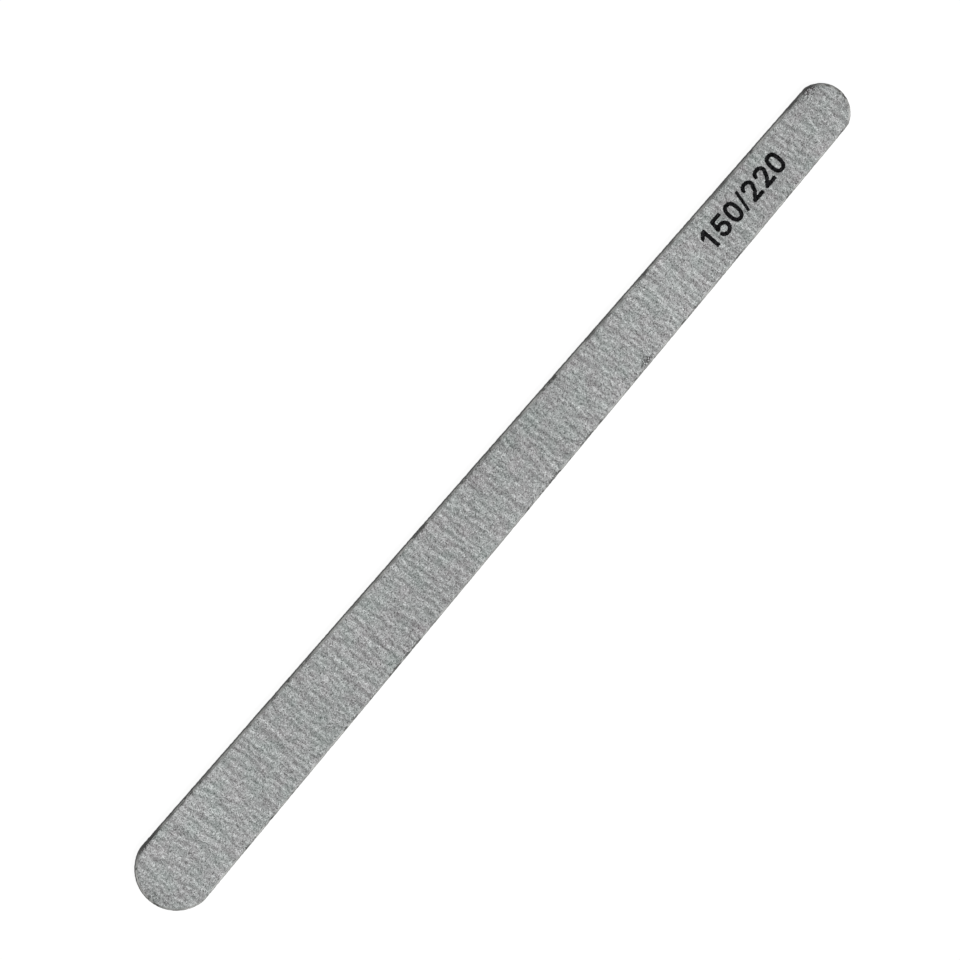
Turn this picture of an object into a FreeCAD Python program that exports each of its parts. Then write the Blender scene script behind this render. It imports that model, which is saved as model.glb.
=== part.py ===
"""Tapered emery board: a plastic core strip with a stack of abrasive paper glued to each face.

The frame lies flat: +X runs along the board from the wide end to the narrow end, +Y runs across it and +Z
points up, out of the coarse face. The origin is on the resting face, midway along and across the board.

The board is modelled the way it is made. Sheets of core plastic, mounting tape, backing paper, bond coat and
grain are laminated into one panel, a die cuts the outline through all of them at once, and the rims are then
softened. So every layer is its own sheet, trimmed by the one die-cut blank that they all share.
"""

import FreeCAD
import Part
import math
import os

import Sketcher

# Driving dimensions in millimetres, and angles in degrees
SIZES = {
    "board_length": 178.0,
    "wide_end_width": 14.1,
    "narrow_end_width": 9.75,
    "wide_shoulder_angle": 10.0,
    "narrow_shoulder_angle": 17.0,
    "shoulder_radius": 3.0,
    "rim_radius": 0.88,
    "core_thickness": 1.2,
    "tape_thickness": 0.1,
    "paper_thickness": 0.16,
    "coarse_bond_thickness": 0.05,
    "coarse_grain_thickness": 0.14,
    "fine_bond_thickness": 0.04,
    "fine_grain_thickness": 0.1,
    "overrun": 2.0,
}

# The laminate from the resting face upwards: node name, and the size that gives its thickness
LAMINATE = (
    ("fine_grain_coat", "fine_grain_thickness"),
    ("fine_bond_coat", "fine_bond_thickness"),
    ("fine_backing_paper", "paper_thickness"),
    ("fine_mounting_tape", "tape_thickness"),
    ("core_strip", "core_thickness"),
    ("coarse_mounting_tape", "tape_thickness"),
    ("coarse_backing_paper", "paper_thickness"),
    ("coarse_bond_coat", "coarse_bond_thickness"),
    ("coarse_grain_coat", "coarse_grain_thickness"),
)

# Places in a sketch: its own origin and axis, and the numbered points of a line or an arc
ORIGIN = -1
X_AXIS = -1
START = 1
END = 2
CENTRE = 3

UP = FreeCAD.Vector(0, 0, 1)
PARALLEL_WITHIN = 1e-6


def in_sheet(alias):
    """The expression that reads one named size from the sheet."""
    return "Sizes." + alias


def sum_of(aliases):
    """The expression that adds up several named sizes."""
    return " + ".join(in_sheet(alias) for alias in aliases)


def make_sheet(doc):
    """A spreadsheet with one aliased cell for each driving dimension."""
    sheet = doc.addObject("Spreadsheet::Sheet", "Sizes")
    for row, (alias, value) in enumerate(SIZES.items(), start=1):
        sheet.set("A%d" % row, alias)
        sheet.set("B%d" % row, str(value))
        sheet.setAlias("B%d" % row, alias)
    doc.recompute()
    return sheet


def origin_plane(body, role):
    """The body's own origin plane of that role."""
    return next(plane for plane in body.Origin.OriginFeatures if plane.Role == role)


class EndArc:
    """One rounded end of the outline: an arc a little flatter than a half round, which leaves a slight shoulder."""

    def __init__(self, sheet, end):
        self.width = getattr(sheet, end + "_end_width")
        self.angle = math.radians(getattr(sheet, end + "_shoulder_angle"))
        self.radius = self.width / 2 / math.cos(self.angle)
        self.radius_rule = "%s / 2 / cos(%s)" % (in_sheet(end + "_end_width"), in_sheet(end + "_shoulder_angle"))
        self.centre = sheet.board_length / 2 - self.radius
        self.centre_rule = "%s / 2 - %s" % (in_sheet("board_length"), self.radius_rule)
        self.shoulder = self.centre + self.radius * math.sin(self.angle)


def draw_outline(sketch, sheet):
    """The die's outline: two straight sides that draw together towards the narrow end, and an arc at each end."""
    wide = EndArc(sheet, "wide")
    narrow = EndArc(sheet, "narrow")
    corners = {
        "wide_left": FreeCAD.Vector(-wide.shoulder, wide.width / 2),
        "narrow_left": FreeCAD.Vector(narrow.shoulder, narrow.width / 2),
        "narrow_right": FreeCAD.Vector(narrow.shoulder, -narrow.width / 2),
        "wide_right": FreeCAD.Vector(-wide.shoulder, -wide.width / 2),
    }
    quarter_turn = math.pi / 2
    left = sketch.addGeometry(Part.LineSegment(corners["wide_left"], corners["narrow_left"]))
    right = sketch.addGeometry(Part.LineSegment(corners["narrow_right"], corners["wide_right"]))
    narrow_circle = Part.Circle(FreeCAD.Vector(narrow.centre, 0), UP, narrow.radius)
    narrow_reach = quarter_turn - narrow.angle
    tip = sketch.addGeometry(Part.ArcOfCircle(narrow_circle, -narrow_reach, narrow_reach))
    wide_circle = Part.Circle(FreeCAD.Vector(-wide.centre, 0), UP, wide.radius)
    wide_reach = quarter_turn - wide.angle
    butt = sketch.addGeometry(Part.ArcOfCircle(wide_circle, math.pi - wide_reach, math.pi + wide_reach))

    for joined in (
        (left, END, tip, END),
        (tip, START, right, START),
        (right, END, butt, END),
        (butt, START, left, START),
    ):
        sketch.addConstraint(Sketcher.Constraint("Coincident", *joined))
    sketch.addConstraint(Sketcher.Constraint("Symmetric", left, START, right, END, X_AXIS))
    sketch.addConstraint(Sketcher.Constraint("Symmetric", left, END, right, START, X_AXIS))

    sizes = (
        ("wide_width", ("DistanceY", right, END, left, START, wide.width), in_sheet("wide_end_width")),
        ("narrow_width", ("DistanceY", right, START, left, END, narrow.width), in_sheet("narrow_end_width")),
        ("wide_radius", ("Radius", butt, wide.radius), wide.radius_rule),
        ("narrow_radius", ("Radius", tip, narrow.radius), narrow.radius_rule),
        ("wide_centre", ("DistanceX", butt, CENTRE, ORIGIN, START, wide.centre), wide.centre_rule),
        ("narrow_centre", ("DistanceX", ORIGIN, START, tip, CENTRE, narrow.centre), narrow.centre_rule),
    )
    for name, constraint, rule in sizes:
        index = sketch.addConstraint(Sketcher.Constraint(*constraint))
        sketch.renameConstraint(index, name)
        sketch.setExpression("Constraints." + name, rule)


def upright_edges(shape):
    """The names of the edges that run straight up the wall of a blank."""
    names = []
    for number, edge in enumerate(shape.Edges, start=1):
        if edge.tangentAt(edge.FirstParameter).isParallel(UP, PARALLEL_WITHIN):
            names.append("Edge%d" % number)
    return names


def level_faces(shape):
    """The names of the two broad faces of a blank."""
    names = []
    for number, face in enumerate(shape.Faces, start=1):
        if face.normalAt(0, 0).isParallel(UP, PARALLEL_WITHIN):
            names.append("Face%d" % number)
    return names


def make_blank(doc, sheet):
    """The die-cut blank: the whole board's outline at its full thickness, with round shoulders and soft rims."""
    body = doc.addObject("PartDesign::Body", "DieCutBlank")
    outline = body.newObject("Sketcher::SketchObject", "DieOutline")
    outline.AttachmentSupport = [(origin_plane(body, "XY_Plane"), "")]
    outline.MapMode = "FlatFace"
    draw_outline(outline, sheet)
    doc.recompute()

    pad = body.newObject("PartDesign::Pad", "BlankPad")
    pad.Profile = outline
    pad.setExpression("Length", sum_of(size for node, size in LAMINATE))
    doc.recompute()

    shoulders = body.newObject("PartDesign::Fillet", "Shoulders")
    shoulders.Base = (pad, upright_edges(pad.Shape))
    shoulders.setExpression("Radius", in_sheet("shoulder_radius"))
    doc.recompute()

    rims = body.newObject("PartDesign::Fillet", "SoftRims")
    rims.Base = (shoulders, level_faces(shoulders.Shape))
    rims.setExpression("Radius", in_sheet("rim_radius"))
    body.Tip = rims
    doc.recompute()
    return body


def make_layer(doc, blank, level):
    """One layer of the laminate: its sheet of the panel, trimmed to the die-cut blank."""
    node, thickness = LAMINATE[level]
    stock = doc.addObject("Part::Box", node + "_stock")
    stock.setExpression("Length", "%s + 2 * %s" % (in_sheet("board_length"), in_sheet("overrun")))
    stock.setExpression("Width", "%s + 2 * %s" % (in_sheet("wide_end_width"), in_sheet("overrun")))
    stock.setExpression("Height", in_sheet(thickness))
    stock.setExpression("Placement.Base.x", "-%s / 2 - %s" % (in_sheet("board_length"), in_sheet("overrun")))
    stock.setExpression("Placement.Base.y", "-%s / 2 - %s" % (in_sheet("wide_end_width"), in_sheet("overrun")))
    below = [size for name, size in LAMINATE[:level]]
    if below:
        stock.setExpression("Placement.Base.z", sum_of(below))

    layer = doc.addObject("Part::Common", node)
    layer.Base = stock
    layer.Tool = blank
    layer.Label = node
    return layer


def check(doc, layers):
    """Stops the build if any object failed, or a layer isn't one sound solid."""
    for thing in doc.Objects:
        if {"Invalid", "Error"} & set(thing.State):
            raise RuntimeError("%s failed: %s" % (thing.Label, thing.State))
    for layer in layers:
        shape = layer.Shape
        if shape.isNull() or not shape.isValid() or len(shape.Solids) != 1:
            raise RuntimeError("%s is not one sound solid" % layer.Label)


def main():
    """Builds the document and writes one STEP file for each layer."""
    doc = FreeCAD.newDocument("EmeryBoard")
    sheet = make_sheet(doc)
    blank = make_blank(doc, sheet)
    layers = [make_layer(doc, blank, level) for level in range(len(LAMINATE))]
    doc.recompute()
    check(doc, layers)

    os.makedirs("parts", exist_ok=True)
    for layer in layers:
        layer.Shape.exportStep("parts/%s.step" % layer.Label)
        box = layer.Shape.optimalBoundingBox()
        print("%-22s z %.3f to %.3f  volume %.2f" % (layer.Label, box.ZMin, box.ZMax, layer.Shape.Volume))


main()
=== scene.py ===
"""Looks of a tapered emery board: gritty faces, layered die-cut edges and a printed grit mark.

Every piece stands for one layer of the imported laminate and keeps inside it. Lengths are in metres, +X runs
from the wide end to the narrow end, +Y across the board and +Z up out of the coarse face.
"""

import logging
import math
from dataclasses import dataclass, field
from enum import Enum
from functools import cached_property
from typing import Iterable, Optional, Sequence, Union

import bpy
import numpy as np
from mathutils import Matrix, Vector


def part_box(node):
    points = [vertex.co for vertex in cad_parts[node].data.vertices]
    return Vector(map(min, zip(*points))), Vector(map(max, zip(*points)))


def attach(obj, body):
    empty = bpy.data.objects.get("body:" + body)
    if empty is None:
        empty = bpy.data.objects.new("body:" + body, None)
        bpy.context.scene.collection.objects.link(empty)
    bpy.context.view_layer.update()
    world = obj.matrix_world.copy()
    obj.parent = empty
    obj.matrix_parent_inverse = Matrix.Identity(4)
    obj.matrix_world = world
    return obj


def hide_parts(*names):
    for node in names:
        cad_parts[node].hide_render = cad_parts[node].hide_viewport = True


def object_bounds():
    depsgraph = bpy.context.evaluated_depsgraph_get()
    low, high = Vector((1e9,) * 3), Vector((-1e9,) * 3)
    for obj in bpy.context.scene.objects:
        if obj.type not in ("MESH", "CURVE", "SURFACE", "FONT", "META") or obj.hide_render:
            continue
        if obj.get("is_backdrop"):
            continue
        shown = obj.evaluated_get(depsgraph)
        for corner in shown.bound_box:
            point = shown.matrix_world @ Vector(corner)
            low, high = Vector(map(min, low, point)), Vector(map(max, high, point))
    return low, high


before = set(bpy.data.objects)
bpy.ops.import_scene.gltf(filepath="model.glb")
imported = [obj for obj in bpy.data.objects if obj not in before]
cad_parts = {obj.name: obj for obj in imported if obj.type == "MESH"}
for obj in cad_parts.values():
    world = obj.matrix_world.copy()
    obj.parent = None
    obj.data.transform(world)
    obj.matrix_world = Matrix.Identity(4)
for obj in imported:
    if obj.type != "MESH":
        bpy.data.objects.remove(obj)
CAD_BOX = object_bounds()

LOG = logging.getLogger("emery_board")
MM = 0.001
BODY = "root"
BAKE_MAP = "OFBake"
DIE_SEED = 3

Place = tuple[float, float]
Span = tuple[float, float]
Colour = tuple[float, float, float]
Socket = bpy.types.NodeSocket
Feed = Union[Socket, float, Sequence[float]]
Feeds = dict[Union[str, int], Feed]


class Face(Enum):
    """The two abrasive faces, by the way that each one looks."""

    COARSE = 1
    FINE = -1

    @property
    def word(self) -> str:
        """The word that the names of the face's layers start with."""
        return self.name.lower()


class Trait(Enum):
    """Values that a mesh carries at its points for its finish to read."""

    RIPPLE = "ripple"
    EDGE = "edge"
    RUB = "rub"


def linear(red: float, green: float, blue: float) -> Colour:
    """Turns a screen colour of 0 to 255 into the linear light that it stands for.

    Args:
        red: Screen value of the red light.
        green: Screen value of the green light.
        blue: Screen value of the blue light.

    Returns:
        The three linear values, from 0 to 1.
    """
    shares = [value / 255 for value in (red, green, blue)]
    return tuple(s / 12.92 if s <= 0.04045 else ((s + 0.055) / 1.055) ** 2.4 for s in shares)


def smooth_step(low: float, high: float, value: np.ndarray) -> np.ndarray:
    """Rises smoothly from 0 at low to 1 at high.

    Args:
        low: Where the rise starts.
        high: Where the rise ends.
        value: The places to look at.

    Returns:
        The share of the rise at each place.
    """
    share = np.clip((value - low) / (high - low), 0.0, 1.0)
    return share * share * (3 - 2 * share)


# Shape of the board


@dataclass(frozen=True)
class EndArc:
    """The rounded end of the outline: an arc that starts at a slight shoulder on each side.

    Args:
        width: Width of the board at the shoulders.
        shoulder: Angle by which the arc falls short of a half round on each side, in radians.
        outward: 1 at the narrow end, where outward is +X, and -1 at the wide end.
        tip: Distance of the end's tip from the middle of the board.
    """

    width: float
    shoulder: float
    outward: int
    tip: float

    @property
    def radius(self) -> float:
        """Radius of the arc."""
        return self.width / 2 / math.cos(self.shoulder)

    @property
    def centre(self) -> float:
        """X of the arc's centre."""
        return self.outward * (self.tip - self.radius)

    @property
    def shoulder_x(self) -> float:
        """X of the two shoulders."""
        return self.centre + self.outward * self.radius * math.sin(self.shoulder)


@dataclass(frozen=True)
class Outline:
    """The die-cut outline in plan: two straight sides that draw together, and an arc at each end.

    Args:
        length: Length of the board from tip to tip.
        wide_width: Width at the wide end's shoulders.
        narrow_width: Width at the narrow end's shoulders.
        wide_shoulder: Angle by which the wide end falls short of a half round on each side, in radians.
        narrow_shoulder: The same angle at the narrow end.
        shoulder_blend: Distance between a side and an arc within which they run into each other.
        least_slant: Least slant at which a side is looked for from the centre of an arc.
    """

    length: float = 178.0 * MM
    wide_width: float = 14.1 * MM
    narrow_width: float = 9.75 * MM
    wide_shoulder: float = math.radians(10)
    narrow_shoulder: float = math.radians(17)
    shoulder_blend: float = 0.1 * MM
    least_slant: float = 0.2

    @property
    def wide(self) -> EndArc:
        """The wide end's arc."""
        return EndArc(self.wide_width, self.wide_shoulder, -1, self.length / 2)

    @property
    def narrow(self) -> EndArc:
        """The narrow end's arc."""
        return EndArc(self.narrow_width, self.narrow_shoulder, 1, self.length / 2)

    @property
    def slope(self) -> float:
        """How fast the half width falls along the board."""
        run = self.narrow.shoulder_x - self.wide.shoulder_x
        return (self.narrow_width - self.wide_width) / 2 / run

    def half_width(self, x: np.ndarray) -> np.ndarray:
        """Distance of a straight side from the middle line, at places along the board."""
        return self.wide_width / 2 + self.slope * (x - self.wide.shoulder_x)

    def reach(self, end: EndArc, turn: np.ndarray) -> np.ndarray:
        """Distance from an end arc's centre to the outline.

        Args:
            end: The end that is meant.
            turn: Directions, as angles from straight out through the tip.

        Returns:
            The distance in each direction, with the shoulder rounded off.
        """
        across = np.abs(np.sin(turn)) - self.slope * end.outward * np.cos(turn)
        side = self.half_width(np.array(end.centre)) / np.maximum(across, self.least_slant)
        gap = np.maximum(self.shoulder_blend - np.abs(side - end.radius), 0) / self.shoulder_blend
        return np.minimum(side, end.radius) - gap * gap * self.shoulder_blend / 4

    def ring(self, step: float) -> "Ring":
        """The outline as evenly spaced points.

        Args:
            step: Spacing of the points along the sides.

        Returns:
            The ring, from the wide tip along the +Y side to the narrow tip and back along the other.
        """
        parts = []
        for end in (self.wide, self.narrow):
            count = round(math.pi / 2 * end.radius / step)
            turns = np.linspace(0, math.pi / 2, count, endpoint=False)[:: -end.outward]
            ways = (end.outward * np.cos(turns), np.sin(turns))
            parts.append((np.full_like(turns, end.centre), *ways, self.reach(end, turns)))
        side = np.linspace(self.wide.centre, self.narrow.centre, round(self.length / step))
        parts.insert(1, (side, np.zeros_like(side), np.ones_like(side), self.half_width(side)))
        x, way_x, way_y, reaches = (np.concatenate(values) for values in zip(*parts))
        half = Ring(np.stack([x, np.zeros_like(x)], 1), np.stack([way_x, way_y], 1), reaches)
        return half.mirrored()


@dataclass(frozen=True)
class Ring:
    """Points round the outline, each held as a start on the middle line, a way out and a reach.

    Args:
        starts: Points on the middle line.
        ways: Unit steps from them towards the outline.
        reaches: Distances from them to the outline.
    """

    starts: np.ndarray
    ways: np.ndarray
    reaches: np.ndarray

    def mirrored(self) -> "Ring":
        """Completes the ring from this half on the +Y side.

        Returns:
            The ring of this half and its mirror image.
        """
        back = slice(-2, 0, -1)
        flip = np.array([1.0, -1.0])
        return Ring(
            np.concatenate([self.starts, self.starts[back]]),
            np.concatenate([self.ways, self.ways[back] * flip]),
            np.concatenate([self.reaches, self.reaches[back]]),
        )

    @property
    def count(self) -> int:
        """Number of points."""
        return len(self.reaches)

    def at(self, inset: Union[np.ndarray, float]) -> np.ndarray:
        """The ring's points in plan, each drawn in from the outline by its own inset or all by one."""
        return self.starts + self.ways * np.reshape(self.reaches - inset, (-1, 1))

    def run(self) -> np.ndarray:
        """Measures along the outline.

        Returns:
            The distance of each point from the first.
        """
        points = self.at(0.0)
        steps = np.linalg.norm(np.diff(points, axis=0), axis=1)
        return np.concatenate([[0.0], np.cumsum(steps)])


@dataclass(frozen=True)
class RimProfile:
    """The softened rim in section: a quarter round on each face of the board.

    Args:
        top: Height of the coarse face.
        radius: Radius of the quarter rounds.
        skin: Room that every piece keeps inside the laminate's wall.
    """

    top: float
    radius: float = 0.88 * MM
    skin: float = 0.02 * MM

    def inset(self, z: np.ndarray) -> np.ndarray:
        """How far the wall stands in from the outline at each height."""
        over = np.maximum(np.maximum(z - (self.top - self.radius), self.radius - z), 0)
        return self.skin + self.radius - np.sqrt(np.maximum(self.radius**2 - over**2, 0))

    def drop(self, edge: np.ndarray) -> np.ndarray:
        """How far the rim has fallen below the flat of its face, at distances in from the outline."""
        short = np.clip(self.radius - (edge - self.skin), 0, self.radius)
        return self.radius - np.sqrt(self.radius**2 - short**2)


class Grain:
    """Smooth random relief over the plan: slopes on a grid, blended between its crossings."""

    def __init__(self, seed: int, cell: Place, tilt: float = 1.0, count: int = 512) -> None:
        """Draws the slopes.

        Args:
            seed: Picks the pattern.
            cell: Size of a grid cell along and across the board.
            tilt: Share of the slope across the board, from 0 for ridges that run straight across.
            count: Cells before the pattern comes round again.
        """
        turns = np.random.default_rng(seed).uniform(0, 2 * math.pi, (count, count))
        length = np.hypot(np.cos(turns), tilt * np.sin(turns))
        self.cell = cell
        self.count = count
        self.slope_x = np.cos(turns) / length
        self.slope_y = tilt * np.sin(turns) / length

    def at(self, x: np.ndarray, y: np.ndarray) -> np.ndarray:
        """The relief at places in plan.

        Args:
            x: Places along the board.
            y: Places across it.

        Returns:
            Heights with a spread of about 1.
        """
        along, across = np.array(x) / self.cell[0], np.array(y) / self.cell[1]
        left, low = np.floor(along).astype(int), np.floor(across).astype(int)
        part_x, part_y = along - left, across - low

        def corner(step_x: int, step_y: int) -> np.ndarray:
            """The rise that one corner of the cell gives."""
            place = (left + step_x) % self.count, (low + step_y) % self.count
            return self.slope_x[place] * (part_x - step_x) + self.slope_y[place] * (part_y - step_y)

        blend_x = part_x**3 * (part_x * (part_x * 6 - 15) + 10)
        blend_y = part_y**3 * (part_y * (part_y * 6 - 15) + 10)
        near = corner(0, 0) * (1 - blend_x) + corner(1, 0) * blend_x
        far = corner(0, 1) * (1 - blend_x) + corner(1, 1) * blend_x
        typical_rise = 0.25
        return (near * (1 - blend_y) + far * blend_y) / typical_rise


@dataclass(frozen=True)
class Ripple:
    """The wavy streaks that the coating rollers leave across the paper.

    Args:
        seed: Picks the pattern.
        cells: Sizes of the waves that make up the streaks, along the board and across it.
        lean: How far a streak runs along the board for each step that it runs across.
        sway: How far a streak wanders along the board.
        sway_cell: Size of that wandering.
        evenness: How closely the streaks keep to one height.
    """

    seed: int
    cells: Sequence[Place] = (
        (0.6 * MM, 1.2 * MM), (0.66 * MM, 4.4 * MM), (0.72 * MM, 2.0 * MM), (0.8 * MM, 3.4 * MM),
    )
    lean: float = 0.055
    sway: float = 0.13 * MM
    sway_cell: float = 2.2 * MM
    evenness: float = 1.3

    def at(self, x: np.ndarray, y: np.ndarray) -> np.ndarray:
        """The streaks' relief.

        Args:
            x: Places along the board.
            y: Places across it.

        Returns:
            Heights with a spread of about 1.
        """
        shift = Grain(self.seed, (self.sway_cell, self.sway_cell)).at(x, y) * self.sway + self.lean * y
        waves = [Grain(self.seed + 1 + n, cell, tilt=0.0) for n, cell in enumerate(self.cells)]
        height = sum(wave.at(x + shift, y) for wave in waves) / math.sqrt(len(waves))
        typical_rise = 0.65
        return np.tanh(self.evenness * height) / typical_rise


@dataclass(frozen=True)
class Scuff:
    """A spot that has been rubbed dark.

    Args:
        x: Its place along the board.
        y: Its place across the board.
        along: How far it spreads along the board.
        across: How far it spreads across the board.
        depth: Strength at its middle, where 1 takes every grain.
    """

    x: float
    y: float
    along: float
    across: float
    depth: float = 1.0

    def at(self, points: np.ndarray) -> np.ndarray:
        """How far points are rubbed dark, up to the scuff's depth at its middle."""
        far = ((points[:, 0] - self.x) / self.along) ** 2 + ((points[:, 1] - self.y) / self.across) ** 2
        return self.depth * np.exp(-far)


class Sheet:
    """Quads that fill the outline: straight rows along the board, and a squared-off disc at each end.

    Attributes:
        x: Places of the points along the board, by row and column.
        y: Their places across it.
        edge: Their distances in from the outline.
        shape: Numbers of rows and columns.
    """

    def __init__(self, outline: Outline, inset: float, step: float, rim_steps: Sequence[float]) -> None:
        """Lays the sheet out flat.

        Args:
            outline: The outline to fill.
            inset: How far the sheet's own edge stands in from it.
            step: Spacing of the points.
            rim_steps: Distances from the sheet's edge of the closer lines that follow the rim.
        """
        widest = outline.wide_width / 2 - inset
        inner = widest - rim_steps[-1]
        half = np.linspace(0, inner / widest, round(inner / step), endpoint=False)
        half = np.concatenate([half, 1 - np.array(rim_steps[::-1]) / widest])
        shares = np.concatenate([-half[:0:-1], half])
        middle = np.linspace(
            outline.wide.centre, outline.narrow.centre, round((outline.length - outline.wide_width) / step)
        )
        rows = [self._end_row(outline, outline.wide, out, shares, inset) for out in half[:0:-1]]
        for x in middle:
            reach = float(outline.half_width(np.array(x))) - inset
            rows.append((np.full_like(shares, x), shares * reach, (1 - np.abs(shares)) * reach + inset))
        rows += [self._end_row(outline, outline.narrow, out, shares, inset) for out in half[1:]]
        self.x, self.y, self.edge = (np.array([row[n] for row in rows]) for n in range(3))
        self.shape = self.x.shape

    @staticmethod
    def _end_row(
        outline: Outline, end: EndArc, out: float, shares: np.ndarray, inset: float
    ) -> tuple[np.ndarray, np.ndarray, np.ndarray]:
        """One row of the squared-off disc at an end.

        Args:
            outline: The outline to fill.
            end: The end that is meant.
            out: The row's share of the way out to the tip.
            shares: The columns' shares of the way out to the sides.
            inset: How far the sheet's edge stands in from the outline.

        Returns:
            The row's places along and across the board, and their distances in from the outline.
        """
        least_share = 1e-9
        wide = np.abs(shares)
        ahead = out >= wide
        slant = np.where(ahead, shares / out, out / np.maximum(wide, least_share))
        turn = np.where(ahead, math.pi / 4 * slant, np.sign(shares) * (math.pi / 2 - math.pi / 4 * slant))
        share = np.maximum(out, wide)
        reach = outline.reach(end, turn) - inset
        x = end.centre + end.outward * share * reach * np.cos(turn)
        return x, share * reach * np.sin(turn), (1 - share) * reach + inset

    def shaken(self, random: np.random.Generator, share: float, calm: Span) -> None:
        """Moves the points inside the edge by chance, so that no lines show.

        Args:
            random: Where the chance comes from.
            share: Most that a point moves, as a share of the spacing beside it.
            calm: Distances in from the outline between which the moving sets in.
        """
        inside = (slice(1, -1), slice(1, -1))
        gaps_x = np.abs(np.diff(self.x, axis=0))[:, 1:-1]
        gaps_y = np.diff(self.y, axis=1)[1:-1]
        room_x = np.minimum(gaps_x[:-1], gaps_x[1:])
        room_y = np.minimum(gaps_y[:, :-1], gaps_y[:, 1:])
        loose = smooth_step(*calm, self.edge[inside])
        self.x[inside] += random.uniform(-share, share, room_x.shape) * room_x * loose
        self.y[inside] += random.uniform(-share, share, room_y.shape) * room_y * loose

    def frayed(self, random: np.random.Generator, share: float) -> None:
        """Draws the points on the edge in by chance, towards those just inside.

        Args:
            random: Where the chance comes from.
            share: Most that a point is drawn in, as a share of the way.
        """
        edges = ((0, 1), (-1, -2))
        for edge, inner in edges:
            draw = random.uniform(0, share, self.shape[1])
            self.x[edge] += draw * (self.x[inner] - self.x[edge])
            self.y[edge] += draw * (self.y[inner] - self.y[edge])
        for edge, inner in edges:
            draw = random.uniform(0, share, self.shape[0] - 2)
            self.y[1:-1, edge] += draw * (self.y[1:-1, inner] - self.y[1:-1, edge])

    def triangles(self, random: np.random.Generator) -> np.ndarray:
        """The sheet's faces, seen from +Z, with each quad split one way or the other by chance.

        Args:
            random: Where the chance comes from.

        Returns:
            Three point numbers for each face.
        """
        number = np.arange(self.x.size).reshape(self.shape)
        a, b = number[:-1, :-1].ravel(), number[1:, :-1].ravel()
        c, d = number[1:, 1:].ravel(), number[:-1, 1:].ravel()
        flip = random.random(len(a)) < 0.5
        first = np.where(flip[:, None], np.stack([a, b, c], 1), np.stack([a, b, d], 1))
        second = np.where(flip[:, None], np.stack([a, c, d], 1), np.stack([b, c, d], 1))
        return np.concatenate([first, second])

    def border(self) -> np.ndarray:
        """Goes round the sheet's edge, from the wide tip along the -Y side first.

        Returns:
            The point numbers in order.
        """
        number = np.arange(self.x.size).reshape(self.shape)
        round_trip = [number[:, 0], number[-1, 1:], number[-2::-1, -1], number[0, -2:0:-1]]
        return np.roll(np.concatenate(round_trip), self.shape[1] // 2)


# Finishes


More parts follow.
